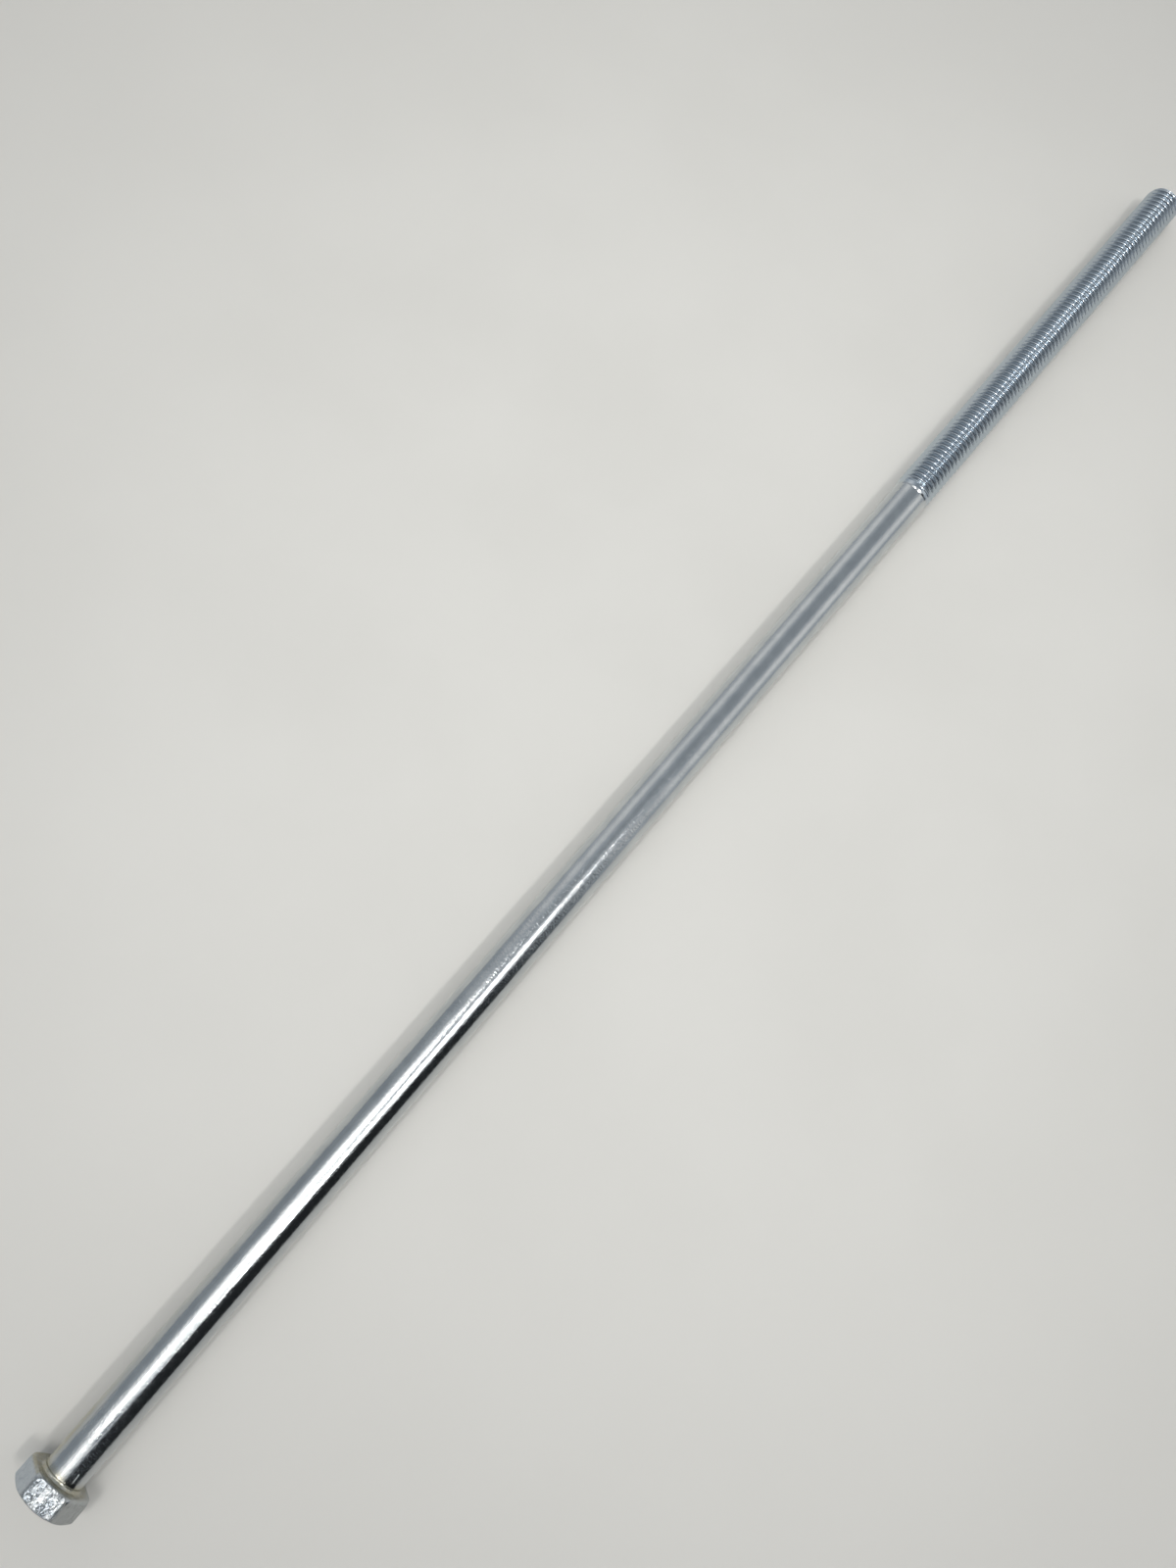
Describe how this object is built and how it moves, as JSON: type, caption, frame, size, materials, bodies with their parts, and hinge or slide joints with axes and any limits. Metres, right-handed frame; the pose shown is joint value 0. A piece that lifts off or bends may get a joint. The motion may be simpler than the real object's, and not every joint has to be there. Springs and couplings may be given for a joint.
{
  "type": "pivot bolt",
  "caption": "Long hexagon-headed pivot bolt in zinc-plated steel, with a plain shank and a rolled thread on its last third.",
  "frame": {"origin": "centre of the bearing face under the head, on the bolt's axis", "axes": "+X along the bolt from the head to the point, +Z out of one flat of the hexagon, so the bolt lies on the flat that faces -Z"},
  "size_m": [0.5405, 0.0194, 0.0172],
  "materials": {
    "zinc_plated_steel": "bright zinc plating with a clear blue passivate, drawn shank, forged grain on the head's flats"
  },
  "bodies": {
    "root": {"pivot_bolt": "zinc_plated_steel"}
  },
  "joints": []
}
